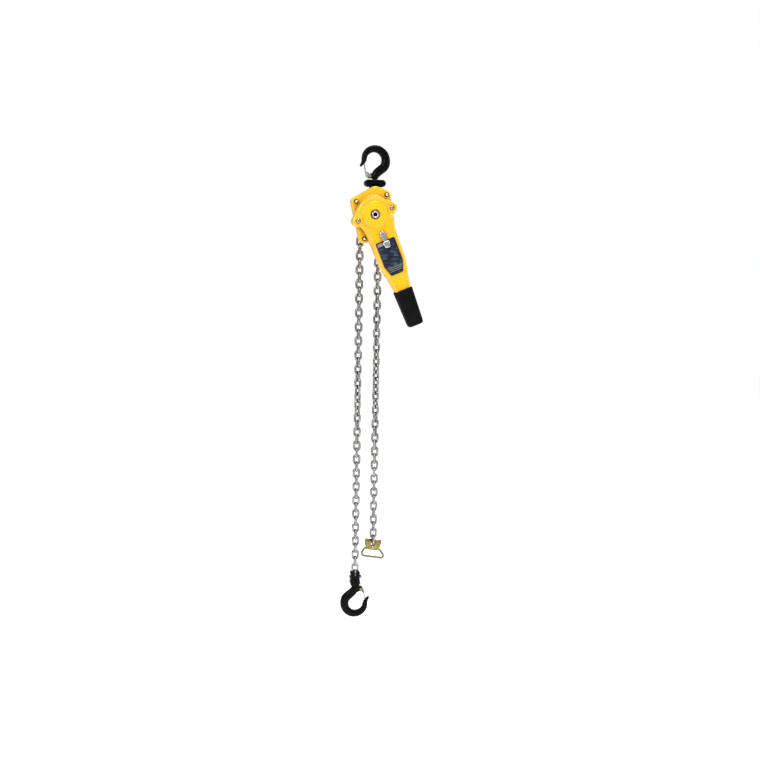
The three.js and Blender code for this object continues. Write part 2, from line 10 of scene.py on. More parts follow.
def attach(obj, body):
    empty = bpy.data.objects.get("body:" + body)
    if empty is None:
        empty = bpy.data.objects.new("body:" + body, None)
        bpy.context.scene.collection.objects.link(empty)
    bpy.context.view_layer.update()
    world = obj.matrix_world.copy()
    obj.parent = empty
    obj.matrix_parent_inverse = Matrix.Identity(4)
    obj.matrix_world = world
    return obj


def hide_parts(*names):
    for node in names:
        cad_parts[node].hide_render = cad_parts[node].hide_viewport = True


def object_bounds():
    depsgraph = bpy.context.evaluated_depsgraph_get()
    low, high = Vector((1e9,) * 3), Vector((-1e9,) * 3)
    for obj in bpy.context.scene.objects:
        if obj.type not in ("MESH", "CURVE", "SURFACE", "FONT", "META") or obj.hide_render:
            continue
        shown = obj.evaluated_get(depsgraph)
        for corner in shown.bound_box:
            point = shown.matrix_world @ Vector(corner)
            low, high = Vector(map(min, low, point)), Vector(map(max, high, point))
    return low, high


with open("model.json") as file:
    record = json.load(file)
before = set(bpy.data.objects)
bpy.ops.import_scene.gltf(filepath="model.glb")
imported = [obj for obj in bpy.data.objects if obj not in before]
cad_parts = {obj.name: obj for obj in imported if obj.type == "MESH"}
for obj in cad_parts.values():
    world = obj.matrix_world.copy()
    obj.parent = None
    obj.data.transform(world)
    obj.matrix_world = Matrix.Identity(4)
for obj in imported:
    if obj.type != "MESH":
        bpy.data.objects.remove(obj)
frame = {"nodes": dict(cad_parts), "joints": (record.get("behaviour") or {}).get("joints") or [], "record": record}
cad_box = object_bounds()

MM = 0.001
JOINTS = {joint["name"]: joint for joint in frame["joints"]}
HUB = Vector(JOINTS["lever_swing"]["pos_m"])
SELECTOR = Vector(JOINTS["selector_turn"]["pos_m"])
LEVER_DOWN = (SELECTOR - HUB).normalized()
LEVER_ACROSS = Vector((-LEVER_DOWN.z, 0, LEVER_DOWN.x))


# ---- materials -------------------------------------------------------------
class Nodes:
    """A material's node tree with short calls for the nodes used here."""

    def __init__(self, name):
        self.material = bpy.data.materials.new(name)
        self.material.use_nodes = True
        self.tree = self.material.node_tree
        self.shader = self.tree.nodes["Principled BSDF"]

    def add(self, kind, inputs=None, **settings):
        node = self.tree.nodes.new(kind)
        for key, value in settings.items():
            setattr(node, key, value)
        for key, value in (inputs or {}).items():
            self.feed(node, key, value)
        return node

    def feed(self, node, key, value):
        if isinstance(value, bpy.types.NodeSocket):
            self.tree.links.new(value, node.inputs[key])
        else:
            node.inputs[key].default_value = value

    def noise(self, scale, detail=4.0, stretch=(1, 1, 1)):
        place = self.add("ShaderNodeTexCoord")
        mapping = self.add("ShaderNodeMapping", {"Vector": place.outputs["Object"], "Scale": stretch})
        return self.add("ShaderNodeTexNoise", {"Vector": mapping.outputs[0], "Scale": scale,
                                               "Detail": detail}).outputs["Fac"]

    def mottled(self, scale, detail, dark, light, stretch=(1, 1, 1), high=0.7):
        """A colour that drifts between dark and light."""
        return self.ramp(self.noise(scale, detail, stretch), [(0.3, dark), (high, light)])

    def uneven(self, scale, detail, low, high, stretch=(1, 1, 1)):
        """A number that drifts between low and high."""
        return self.grey(self.noise(scale, detail, stretch), 0.3, 0.7, low, high)

    def painted_shade_mask(self, distance):
        """1 in the open, less in corners; the mask for painted shade."""
        return self.add("ShaderNodeAmbientOcclusion", {"Distance": distance}, samples=6).outputs["AO"]

    def times(self, first, second):
        return self.add("ShaderNodeMath", {0: first, 1: second}, operation="MULTIPLY").outputs[0]

    def ramp(self, value, stops):
        node = self.add("ShaderNodeValToRGB", {"Fac": value})
        elements = node.color_ramp.elements
        while len(elements) < len(stops):
            elements.new(0.5)
        for element, (place, colour) in zip(elements, stops):
            element.position = place
            element.color = (*colour, 1)
        return node.outputs["Color"]

    def grey(self, value, low, high, low_out, high_out):
        node = self.add("ShaderNodeMapRange", {"Value": value, "From Min": low, "From Max": high,
                                               "To Min": low_out, "To Max": high_out})
        return node.outputs[0]

    def edges(self, radius):
        """1 on sharp edges, 0 on flats."""
        bevel = self.add("ShaderNodeBevel", {"Radius": radius}, samples=4)
        flat = self.add("ShaderNodeNewGeometry")
        dot = self.add("ShaderNodeVectorMath", {0: bevel.outputs[0], 1: flat.outputs["Normal"]},
                       operation="DOT_PRODUCT")
        return self.grey(dot.outputs["Value"], 0.80, 0.985, 1.0, 0.0)

    def mix(self, amount, first, second):
        node = self.add("ShaderNodeMix", data_type="RGBA")
        self.feed(node, "Factor", amount)
        for slot, value in ((6, first), (7, second)):
            self.feed(node, slot, (*value, 1) if isinstance(value, tuple) else value)
        return node.outputs[2]

    def bump(self, height, strength, distance):
        inputs = {"Height": height, "Strength": strength, "Distance": distance}
        self.feed(self.shader, "Normal", self.add("ShaderNodeBump", inputs).outputs[0])

    def finish(self, **inputs):
        for key, value in inputs.items():
            key = key.replace("_", " ")
            if isinstance(value, tuple) and len(value) == 3:
                value = (*value, 1)
            self.feed(self.shader, key, value)
        return self.material


ORANGE_PEEL = 0.12


def enamel(name, deep, light, rough, chip, chip_amount, crevice_shade, coat=0.3, shine=0.5):
    """Gloss paint with a slight orange peel, painted shade in crevices and worn edges."""
    n = Nodes(name)
    flat = n.mottled(28, 5, deep, light)
    # Painted shade: the crevice colour is mixed in where ambient occlusion finds corners.
    shade = n.mix(n.grey(n.painted_shade_mask(0.012), 0.40, 0.98, 0.95, 0.0), flat, crevice_shade)
    patches = n.grey(n.noise(260, 6), 0.5, 0.62, 0, 1)
    worn = n.times(n.times(n.edges(0.0006), patches), chip_amount)
    n.bump(n.noise(650, 2), ORANGE_PEEL, 0.0004)
    gloss = n.uneven(90, 4, rough * 0.8, rough * 1.3)
    return n.finish(Base_Color=n.mix(worn, shade, chip), Roughness=gloss, Coat_Weight=coat,
                    Coat_Roughness=0.12, Specular_IOR_Level=shine)


def metal(name, dark, light, rough, scratch=(1, 1, 1), spots=0.0, spot_colour=(0.2, 0.16, 0.1)):
    """Bare or plated metal with brushed grain, painted shade in corners and a few dull spots."""
    n = Nodes(name)
    grain = n.mottled(120, 6, dark, light, scratch)
    # Painted shade: a darker copy of the metal, mixed in where ambient occlusion finds corners and contacts.
    corner = tuple(0.25 * c for c in dark)
    shade = n.mix(n.grey(n.painted_shade_mask(0.006), 0.3, 0.9, 0.8, 0.0), grain, corner)
    stain = n.grey(n.noise(75, 6), 0.58, 0.72, 0.0, spots)
    n.bump(n.noise(900, 3, scratch), 0.15, 0.0002)
    return n.finish(Base_Color=n.mix(stain, shade, spot_colour), Metallic=1.0,
                    Roughness=n.uneven(200, 4, rough * 0.7, rough * 1.4, scratch))


def moulded_rubber():
    """Near black, dull and finely pitted."""
    n = Nodes("grip_rubber_look")
    n.bump(n.noise(1400, 3), 0.35, 0.0005)
    shade = n.mottled(45, 5, (0.002, 0.002, 0.0022), (0.006, 0.006, 0.0066), high=0.75)
    return n.finish(Base_Color=shade, Roughness=n.grey(n.noise(160, 5), 0.3, 0.7, 0.42, 0.62),
                    Specular_IOR_Level=0.08)


def printed_plate():
    """Dark blue plate whose print is only cloudy tone."""
    n = Nodes("name_plate_look")
    tones = [(0.35, (0.004, 0.007, 0.016)), (0.55, (0.014, 0.026, 0.05)), (0.70, (0.07, 0.10, 0.16))]
    cloud = n.ramp(n.noise(85, 5, (1, 1, 2.2)), tones)
    return n.finish(Base_Color=cloud, Roughness=n.uneven(300, 4, 0.22, 0.42), Metallic=0.35)


def lining():
    """Pressed brown friction material."""
    n = Nodes("lining_look")
    n.bump(n.noise(700, 4), 0.6, 0.0006)
    fibres = n.mottled(500, 4, (0.05, 0.035, 0.025), (0.13, 0.09, 0.06))
    return n.finish(Base_Color=fibres, Roughness=0.9)


def pale_floor():
    n = Nodes("floor_look")
    return n.finish(Base_Color=(0.93, 0.93, 0.93), Roughness=0.8, Emission_Color=(1, 1, 1),
                    Emission_Strength=0.6)


# The last colour of each enamel is the painted shade for its crevices.
YELLOW = enamel("yellow_enamel", (0.82, 0.44, 0.0), (0.92, 0.56, 0.002), 0.24, (0.42, 0.28, 0.08), 0.45,
                (0.50, 0.14, 0.0))
# A deeper copy of the yellow for the hub's recess: a coppery tone with painted shade of the recess in it.
RECESS_SHADED_ORANGE = enamel("recess_shaded_orange", (0.50, 0.12, 0.01), (0.66, 0.20, 0.02), 0.35, (0.30, 0.20, 0.10), 0.4,
                (0.25, 0.05, 0.0))
BLACK = enamel("black_enamel", (0.001, 0.001, 0.0012), (0.003, 0.003, 0.0036), 0.25, (0.05, 0.05, 0.05),
               0.4, (0.0005, 0.0005, 0.0005), coat=0.04, shine=0.07)
CHAIN = metal("chain_zinc_look", (0.20, 0.198, 0.19), (0.50, 0.495, 0.48), 0.26, spots=0.45,
              spot_colour=(0.13, 0.12, 0.10))
BRIGHT = metal("bright_plate_look", (0.66, 0.68, 0.70), (0.86, 0.87, 0.88), 0.16, spots=0.15)
STEEL = metal("machined_steel_look", (0.34, 0.34, 0.35), (0.52, 0.52, 0.53), 0.32, (1, 8, 1))
DARK = metal("dark_steel_look", (0.05, 0.05, 0.055), (0.12, 0.12, 0.125), 0.4)
GOLD = metal("yellow_zinc_look", (0.20, 0.15, 0.04), (0.40, 0.33, 0.12), 0.26, spots=0.5,
             spot_colour=(0.30, 0.20, 0.12))
PALE_GOLD = metal("latch_plate_look", (0.52, 0.50, 0.42), (0.74, 0.73, 0.66), 0.24, spots=0.2)
OLIVE = metal("olive_plate_look", (0.12, 0.115, 0.05), (0.30, 0.29, 0.16), 0.3, spots=0.3)
BRONZE = metal("washer_look", (0.10, 0.055, 0.02), (0.24, 0.14, 0.06), 0.35)
RUBBER = moulded_rubber()
PLATE = printed_plate()
LINING = lining()
SLOT_LOOKS = {
    "yellow_paint": YELLOW, "black_paint": BLACK, "grip_rubber": RUBBER, "chain_zinc": CHAIN,
    "bright_plate": BRIGHT, "steel": STEEL, "dark_steel": DARK, "yellow_zinc": GOLD, "lining": LINING,
    "plate_blue": PLATE,
}
SLOT_OF = {entry["node"]: entry["material_slot"] for entry in frame["record"]["subparts"]}
BODIES = frame["record"]["behaviour"]["bodies"]
BODY_OF = {node: body for body, members in BODIES.items() for node in members}


def dress_frame():
    """Every carried-over CAD node takes its slot's look."""
    for name, piece in frame["nodes"].items():
        piece.data.materials.clear()
        piece.data.materials.append(SLOT_LOOKS[SLOT_OF[name]])


# ---- mesh helpers ------------------------------------------------------------
def new_piece(name, bm, look, node=None, body=None, smooth_angle=35):
    """Makes the mesh an object that stands for a CAD node, or an extra one with its body and slot."""
    bmesh.ops.remove_doubles(bm, verts=bm.verts, dist=1e-7)
    bmesh.ops.recalc_face_normals(bm, faces=bm.faces)
    mesh = bpy.data.meshes.new(name)
    bm.to_mesh(mesh)
    bm.free()
    mesh.materials.append(look)
    mesh.shade_smooth()
    piece = bpy.data.objects.new(name, mesh)
    bpy.context.scene.collection.objects.link(piece)
    mesh.set_sharp_from_angle(angle=math.radians(smooth_angle))
    if node:
        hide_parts(node)
        body = BODY_OF[node]
    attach(piece, body)
    return piece


def bridge(bm, low, high):
    """Quads between two rings of vertices of equal length."""
    for i in range(len(low)):
        j = (i + 1) % len(low)
        bm.faces.new((low[i], low[j], high[j], high[i]))


def loft(bm, rings, close_start=True, close_end=True, closed=False):
    """Joins rings of equal length with quads; returns the rings' vertices."""
    rows = [[bm.verts.new(point) for point in ring] for ring in rings]
    pairs = list(zip(rows, rows[1:]))
    if closed:
        pairs.append((rows[-1], rows[0]))
    for low, high in pairs:
        bridge(bm, low, high)
    if not closed and close_start:
        bm.faces.new(list(reversed(rows[0])))
    if not closed and close_end:
        bm.faces.new(rows[-1])
    return rows


def turned(bm, profile, centre, sides=48, axis="Y", bend=0.0, steps=3):
    """A solid of revolution in millimetres, from (radius, place along the axis) pairs.

    The profile runs from axis to axis, or round a closed ring. A bend rounds its corners.
    """
    if bend:
        profile = rounded(profile, bend, steps)
    rings = []
    for radius_mm, along_mm in profile:
        radius = radius_mm * MM
        along = along_mm * MM
        ring = []
        for k in range(sides):
            a = 2 * math.pi * k / sides
            c, s = radius * math.cos(a), radius * math.sin(a)
            offset = {"Y": (c, along, s), "Z": (c, s, along), "X": (along, c, s)}[axis]
            ring.append(Vector(centre) + Vector(offset))
        rings.append(ring)
    on_axis = profile[0][0] < 1e-9
    loft(bm, rings, close_start=False, close_end=False, closed=not on_axis)


def corner_curve(before, corner, after, radius, reach, steps):
    """A curve that cuts a corner by radius, or by reach times its shorter side if that is less."""
    back = before - corner
    on = after - corner
    cut = min(radius, back.length * reach, on.length * reach)
    start = corner + back.normalized() * cut
    end = corner + on.normalized() * cut
    result = []
    for k in range(steps + 1):
        t = k / steps
        result.append(start * (1 - t) ** 2 + corner * 2 * t * (1 - t) + end * t ** 2)
    return result


def rounded(profile, radius, steps):
    """Rounds the corners of an open polyline of pairs."""
    points = [Vector(p) for p in profile]
    result = [points[0]]
    for before, corner, after in zip(points, points[1:], points[2:]):
        result += corner_curve(before, corner, after, radius, 0.45, steps)
    result.append(points[-1])
    return [tuple(p) for p in result]


def squarish(value, power):
    """A sine or cosine pushed outwards, for a ring with flatter sides."""
    return math.copysign(abs(value) ** power, value)


def resampled(outline, step):
    """A closed outline with even spacing."""
    points = [Vector(p) for p in outline]
    points.append(points[0])
    lengths = [0.0]
    for a, b in zip(points, points[1:]):
        lengths.append(lengths[-1] + (b - a).length)
    count = max(24, round(lengths[-1] / step))
    result = []
    index = 0
    for k in range(count):
        target = lengths[-1] * k / count
        while lengths[index + 1] < target:
            index += 1
        t = (target - lengths[index]) / max(1e-12, lengths[index + 1] - lengths[index])
        result.append(points[index].lerp(points[index + 1], t))
    return result


def eased(outline, rounds):
    """Rounds a closed outline's corners by averaging neighbours."""
    for _ in range(rounds):
        count = len(outline)
        following = outline[1:] + outline[:1]
        outline = [(outline[i - 1] + outline[i] * 2 + following[i]) / 4 for i in range(count)]
    return outline


def inset(outline, distance):
    """The outline moved inwards; the outline runs anticlockwise."""
    count = len(outline)
    result = []
    for i in range(count):
        along = outline[(i + 1) % count] - outline[i - 1]
        result.append(outline[i] + Vector((-along.y, along.x)).normalized() * distance)
    return result


def anticlockwise(outline):
    area = sum(a.x * b.y - b.x * a.y for a, b in zip(outline, outline[1:] + outline[:1]))
    return outline if area > 0 else list(reversed(outline))


def circle(centre, radius, count):
    return [Vector((centre[0] + radius * math.cos(2 * math.pi * k / count),
                    centre[1] + radius * math.sin(2 * math.pi * k / count))) for k in range(count)]


def hull_outline(circles, steps=10):
    """The convex outline round circles (x, z, radius), anticlockwise."""
    points = [p for x, z, r in circles for p in circle((x, z), r, 8 * steps)]
    points.sort(key=lambda p: (p.x, p.y))

    def half(sequence):
        chain = []
        for p in sequence:
            while len(chain) > 1 and (chain[-1] - chain[-2]).cross(p - chain[-1]) <= 0:
                chain.pop()
            chain.append(p)
        return chain[:-1]
    return half(points) + half(list(reversed(points)))


def fill_between(bm, outer, holes):
    """Triangulates the flat area inside the outer ring of vertices and outside the hole rings."""
    edges = []
    for ring in [outer, *holes]:
        for a, b in zip(ring, ring[1:] + ring[:1]):
            edges.append(bm.edges.get((a, b)) or bm.edges.new((a, b)))
    bmesh.ops.triangle_fill(bm, use_beauty=True, use_dissolve=False, edges=edges)


# ---- places ------------------------------------------------------------------
def hub_at(x, y, z):
    """Millimetres from the hub: X to the right, Y to the back, Z up."""
    return HUB + Vector((x, y, z)) * MM


def lever_at(across, y, down):
    """Millimetres from the hub along the tilted lever."""
    return HUB + (LEVER_ACROSS * across + LEVER_DOWN * down + Vector((0, y, 0))) * MM


# Sizes and places are in millimetres from here to the stage.
LOAD_X = -23.52
TAIL_X = 23.52
BODY_TURN = math.radians(13.6)
NUT_CENTRE = Vector((7.2, -4.2))
NUT_HALF = Vector((39.0, 46.4))
HIDDEN_NUT = Vector((48.5, -42))


def nut_place(side_x, side_z):
    """One corner of the turned rectangle on which the cover's nuts stand, from the hub."""
    offset = Vector((side_x * NUT_HALF.x, side_z * NUT_HALF.y))
    offset.rotate(Matrix.Rotation(BODY_TURN, 2))
    return NUT_CENTRE + offset


NUTS = [nut_place(-1, 1), nut_place(-1, -1), HIDDEN_NUT, nut_place(1, 1)]


# ---- chain -------------------------------------------------------------------
WIRE = 3.0
LINK_BEND = 7.1
LINK_STRAIGHT = 4.9
PITCH = 18.0
BEND_STEPS = 8
WIRE_SIDES = 10
WRAP_R = 21.73


def link_path():
    """The wire's centre line: two straights and two half circles, as (side, along) pairs."""
    path = []
    for end, first in ((1, 0), (-1, math.pi)):
        for k in range(BEND_STEPS + 1):
            a = first + math.pi * k / BEND_STEPS
            path.append((LINK_BEND * math.cos(a), LINK_BEND * math.sin(a) + end * LINK_STRAIGHT))
    return path


LINK_PATH = link_path()


def add_link(bm, centre, side, along):
    """One link of round wire; side and along are unit vectors of its flat."""
    through = side.cross(along)
    count = len(LINK_PATH)
    rings = []
    for i, (s, t) in enumerate(LINK_PATH):
        before = LINK_PATH[i - 1]
        after = LINK_PATH[(i + 1) % count]
        heading = (side * (after[0] - before[0]) + along * (after[1] - before[1])).normalized()
        outward = heading.cross(through)
        middle = centre + (side * s + along * t) * MM
        ring = []
        for k in range(WIRE_SIDES):
            a = 2 * math.pi * k / WIRE_SIDES
            ring.append(middle + (outward * math.cos(a) + through * math.sin(a)) * WIRE * MM)
        rings.append(ring)
    loft(bm, rings, closed=True)


def smoothstep(value, low, high):
    """0 up to low, 1 from high, smooth between."""
    t = min(1, max(0, (value - low) / (high - low)))
    return t * t * (3 - 2 * t)


def hanging_run(node, x, top_z, count, lay_from, lay_to):
    """A straight run of links that twists by a quarter turn between two of them, as a real chain does."""
    bm = bmesh.new()
    for i in range(count):
        turn = math.radians(90 + 90 * (i % 2) + 90 * smoothstep(i, lay_from, lay_to))
        side = Vector((math.cos(turn), math.sin(turn), 0))
        add_link(bm, hub_at(x, 0, top_z - PITCH * i), side, Vector((0, 0, -1)))
    new_piece(node + "_links", bm, CHAIN, node, smooth_angle=60)


def chain_on_sheave():
    """The links on the lift wheel, flat and on edge by turns."""
    bm = bmesh.new()
    for i, degrees in enumerate((65, 110)):
        a = math.radians(degrees)
        radial = Vector((-math.cos(a), 0, math.sin(a)))
        side = radial if i % 2 else Vector((0, 1, 0))
        along = Vector((math.sin(a), 0, math.cos(a)))
        add_link(bm, HUB + radial * WRAP_R * MM, side, along)
    new_piece("wrapped_links", bm, CHAIN, "wrapped_chain", smooth_angle=60)


def chains():
    hanging_run("load_chain", LOAD_X, -10, 52, 16, 38)
    hanging_run("tail_chain", TAIL_X, -26, 46, 7, 43)
    chain_on_sheave()


# ---- hooks -------------------------------------------------------------------
def along_curve(stations, steps):
    """Smooth in-between values of the stations, each a tuple of numbers (Catmull-Rom)."""
    rows = [Vector(s) for s in stations]
    result = []
    for i in range(len(rows) - 1):
        a, b = rows[max(0, i - 1)], rows[i]
        c, d = rows[i + 1], rows[min(len(rows) - 1, i + 2)]
        for k in range(steps):
            t = k / steps
            result.append(((b * 2) + (c - a) * t + (a * 2 - b * 5 + c * 4 - d) * t * t
                           + (b * 3 - a - c * 3 + d) * t * t * t) / 2)
    result.append(rows[-1])
    return result


BOWL_INNER = 19.0
BOWL_OUTER = 42.0
BOWL_START = 135
BOWL_TURN = 225
BOWL_TAPER = 10.4
HOOK_SIDES = 28
# (side, height, half width, half thickness), in millimetres from the bowl's centre
HOOK_NECK = [(-3, 46.7, 7, 7), (-3.2, 42, 8.6, 7.6), (-5.4, 35, 10.4, 8.2), (-11.5, 28, 11.0, 8.6)]
HOOK_TIP = [(27.2, 5.5, 5.0, 6.0), (29.6, 9.2, 4.1, 5.2), (31.8, 12.2, 3.3, 4.4),
            (32.8, 13.9, 3.0, 4.0)]


def hook_stations():
    """(x, z, half width, half thickness) down the neck, round the bowl and up to the tip."""
    stations = list(HOOK_NECK)
    for degrees in range(150, 361, 30):
        outer = BOWL_OUTER - BOWL_TAPER * ((degrees - BOWL_START) / BOWL_TURN) ** 1.4
        middle = (outer + BOWL_INNER) / 2
        a = math.radians(degrees)
        thick = 9.0 - 2.6 * max(0, (degrees - 270) / 90)
        stations.append((middle * math.cos(a), middle * math.sin(a), (outer - BOWL_INNER) / 2, thick))
    return stations + HOOK_TIP


def bowl_frame(bowl, flip):
    """A function that places millimetres from the bowl's centre, turned over when flip is -1."""
    def at(x, y, z):
        return bowl + Vector((flip * x, y, flip * z)) * MM
    return at


def forged_ring(place, normal, half_width, half_thick, roundness):
    """An oval section, slightly squared when roundness is below 1."""
    ring = []
    for k in range(HOOK_SIDES):
        a = 2 * math.pi * k / HOOK_SIDES
        c = squarish(math.cos(a), roundness)
        s = squarish(math.sin(a), roundness)
        ring.append(place + (normal * half_width * c + Vector((0, 1, 0)) * half_thick * s) * MM)
    return ring


def hook_body(name, node, bowl, flip, stem, stem_end):
    """The forged hook round its bowl's centre; flip is -1 when it stands with its mouth on the left."""
    at = bowl_frame(bowl, flip)
    line = along_curve(hook_stations(), 5)
    rings = []
    for i, (x, z, half_width, half_thick) in enumerate(line):
        before = line[max(0, i - 1)]
        after = line[min(len(line) - 1, i + 1)]
        heading = Vector((flip * (after[0] - before[0]), 0, flip * (after[1] - before[1]))).normalized()
        normal = Vector((-heading.z, 0, heading.x))
        place = at(x, 0, z)
        roundness = 1.0 if z > 45 else 0.82
        rings.append(forged_ring(place, normal, half_width, half_thick, roundness))
    tip, last = rings[-1], line[-1]
    middle = at(last[0], 0, last[1])
    for grow, ahead in ((0.9, 1.3), (0.68, 2.3), (0.36, 3.0)):
        rings.append([middle + (p - middle) * grow + heading * ahead * MM for p in tip])
    bm = bmesh.new()
    loft(bm, rings)
    boss = [(0, -7.4), (5.3, -7.4), (5.3, 7.4), (0, 7.4)]
    turned(bm, boss, at(12, 0, 39.5), HOOK_SIDES, bend=1.6, steps=4)
    shank = [(0, flip * 40), (stem, flip * 40), (stem, flip * stem_end), (0, flip * stem_end)]
    turned(bm, shank, at(-3, 0, 0), HOOK_SIDES, "Z", bend=0.8)
    web = [(1, 45), (12, 44.6), (12, 34.4), (1, 30)]
    loft(bm, [[at(x, y, z) for x, z in web] for y in (-6.4, 6.4)])
    new_piece(name, bm, BLACK, node, smooth_angle=50)


LATCH_HALF_SHEET = 0.7
# (side, height, half width) down the latch's sheet, in millimetres from the bowl's centre
LATCH_LINE = [(15.6, 42.6, 9.4), (17.2, 41.2, 9.4), (18.4, 38.6, 9.2), (20.4, 31.0, 8.0),
              (22.2, 22.5, 6.6), (24.4, 10.0, 5.6)]


def latch(name, node, bowl, flip, look):
    """A bent sheet from the pivot down to the hook's tip, with a cheek each side of the neck."""
    at = bowl_frame(bowl, flip)
    rings = []
    for i, (x, z, half) in enumerate(LATCH_LINE):
        before = LATCH_LINE[max(0, i - 1)]
        after = LATCH_LINE[min(len(LATCH_LINE) - 1, i + 1)]
        heading = Vector((after[0] - before[0], after[1] - before[1])).normalized()
        nx = -heading.y * LATCH_HALF_SHEET
        nz = heading.x * LATCH_HALF_SHEET
        rings.append([at(x + nx, -half, z + nz), at(x + nx, half, z + nz), at(x - nx, half, z - nz),
                      at(x - nx, -half, z - nz)])
    bm = bmesh.new()
    loft(bm, rings)
    cheek = hull_outline([(12, 39.5, 4.0), (19.0, 29.5, 0.9), (17.0, 40.6, 1.0)], 4)
    for side in (-1, 1):
        faces = [[at(p.x, side * y, p.y) for p in cheek] for y in (8.3, 9.6)]
        loft(bm, faces)
    piece = new_piece(name, bm, look, node)
    soften(piece, 0.4)


def soften(piece, width):
    """Small rounded edges on a piece."""
    bevel = piece.modifiers.new("edges", "BEVEL")
    bevel.width = width * MM
    bevel.segments = 2
    bevel.limit_method = "ANGLE"
    bevel.angle_limit = math.radians(40)
    bevel.harden_normals = True


TOP_BOWL = hub_at(9, 0, 137)
BOTTOM_BOWL = hub_at(LOAD_X + 3, 0, -1005)


def hooks():
    hook_body("top_hook_forging", "top_hook", TOP_BOWL, -1, 5.0, 74)
    hook_body("bottom_hook_forging", "bottom_hook", BOTTOM_BOWL, 1, 4.5, 58.6)
    latch("top_latch_sheet", "top_hook_latch", TOP_BOWL, -1, PALE_GOLD)
    latch("bottom_latch_sheet", "bottom_hook_latch", BOTTOM_BOWL, 1, OLIVE)


# ---- outlines in the lever's frame ---------------------------------------------
# (half width, distance down from the hub) of the lever below its head
NECK = [(34.8, 57), (33.5, 99), (32.6, 131), (25.8, 161), (20.9, 191)]
HEAD_R = 43.5
EAR_V = 44.8
EAR_R = 14.0
EAR_START = math.radians(-72)
ARC_STEPS = 12
LEVER_END = 287.0
LEVER_END_HALF = 16.0
SPLIT = -51.0


def arc(middle, radius, first, last):
    """Points round part of a circle."""
    angles = [first + (last - first) * k / ARC_STEPS for k in range(ARC_STEPS + 1)]
    return [Vector((middle + radius * math.cos(a), radius * math.sin(a))) for a in angles]


def lever_outline():
    """(across, up) points round the lever, anticlockwise, evenly spaced and eased."""
    right = [Vector((LEVER_END_HALF, -LEVER_END))]
    right += [Vector((x, -u)) for x, u in reversed(NECK)]
    right += [Vector((36.6, -30)), Vector((41, -16.5))]
    lean = math.acos((HEAD_R - EAR_R) / EAR_V)
    right += arc(EAR_V, EAR_R, EAR_START, lean)
    right += arc(0, HEAD_R, lean, math.pi / 2)
    left = [Vector((-p.x, p.y)) for p in reversed(right[:-1])]
    return eased(resampled(anticlockwise(right + left), 2.4), 5)


def ring_in_lever(outline, y):
    return [lever_at(p.x, y, -p.y) for p in outline]


def ring_in_hub(outline, y):
    return [hub_at(p.x, y, p.y) for p in outline]


def pan(bm, outline, place, skin, holes=(), inner=None):
    """A pressed shape: skin is (inset, y) pairs from the open edge over the rim to the bored face.

    With inner, (inset, y) pairs from the open edge to the inside face, the shape is hollow and
    the holes are joined through; without it, the back is closed flat.
    """
    outside = [place(inset(outline, i), y) for i, y in skin]
    rows = loft(bm, outside, close_start=inner is None, close_end=False)
    face_y = skin[-1][1]
    tops = [[bm.verts.new(p) for p in place(hole, face_y)] for hole in holes]
    fill_between(bm, rows[-1], tops)
    if inner is None:
        return
    back = loft(bm, [place(inset(outline, i), y) for i, y in inner], close_start=False, close_end=False)
    bridge(bm, rows[0], back[0])
    bottoms = [[bm.verts.new(p) for p in place(hole, inner[-1][1])] for hole in holes]
    fill_between(bm, back[-1], bottoms)
    for top, bottom in zip(tops, bottoms):
        bridge(bm, top, bottom)


# ---- lever ---------------------------------------------------------------------
def lever_shell():
    """Pressed front half of the lever: a raised rim all round, a bored head and a boss ring."""
    outline = lever_outline()
    skin = [(0, SPLIT), (0, -71.6), (0.5, -73.6), (1.6, -75.2), (3.0, -76.0), (4.4, -76.0),
            (5.6, -75.4), (6.6, -74.6), (7.6, -74.2)]
    inner = [(2.6, SPLIT), (2.6, -71.4), (3.6, -72.2)]
    holes = [circle((0, 0), 12.7, 40), circle((0, -SELECTOR_DOWN), 4.3, 20),
             circle((EAR_V, 0), 3.0, 16), circle((-EAR_V, 0), 3.0, 16)]
    bm = bmesh.new()
    pan(bm, outline, ring_in_lever, skin, holes, inner)
    boss = [(12.7, -73.0), (12.7, -76.2), (13.6, -76.9), (27.5, -76.9), (30.2, -76.3), (31.4, -75.2),
            (32.4, -74.4), (34.0, -74.1), (34.0, -73.0)]
    turned(bm, boss, HUB, 72, bend=0.8)
    for sign in (-1, 1):
        pad = [(3.0, -73.0), (3.0, -75.4), (9.0, -75.4), (10.6, -74.2), (10.6, -73.0)]
        turned(bm, pad, lever_at(sign * EAR_V, 0, 0), 36, bend=0.8)
    new_piece("lever_shell_pressing", bm, YELLOW, "lever_front_shell", smooth_angle=45)


GRIP_TOP = 197.0
GRIP_LENGTH = 94.0
GRIP_HALF = 24.0
GRIP_TAPER = 4.0
GRIP_HALF_DEPTH = 14.5
GRIP_Y = -63.0
GRIP_SIDES = 0.38


def grip():
    """Moulded rubber sleeve, a little wider at the top, rounded all over."""
    stations = [(196.2, 0.93), (196.8, 0.975), (198.2, 1.0), (240, 1.0), (282, 1.0), (287.5, 0.97),
                (290.0, 0.88), (291.0, 0.74)]
    bm = bmesh.new()
    rings = []
    for down, grow in stations:
        half = GRIP_HALF - GRIP_TAPER * (down - GRIP_TOP) / GRIP_LENGTH
        ring = []
        for k in range(40):
            a = 2 * math.pi * k / 40
            c = squarish(math.cos(a), GRIP_SIDES)
            s = squarish(math.sin(a), GRIP_SIDES)
            ring.append(lever_at(half * grow * c, GRIP_Y + GRIP_HALF_DEPTH * grow * s, down))
        rings.append(ring)
    loft(bm, rings)
    new_piece("grip_sleeve", bm, RUBBER, "rubber_grip", smooth_angle=50)


PLATE_FACE = -75.5
BAR_HEIGHT = 0.25


def plate_outline():
    corners = [(-24.8, 67), (-24.8, 127), (-15.5, 154), (15.5, 154), (24.8, 127), (24.8, 67)]
    outline = [Vector((x, -u)) for x, u in corners]
    return eased(resampled(anticlockwise(outline), 1.2), 3)


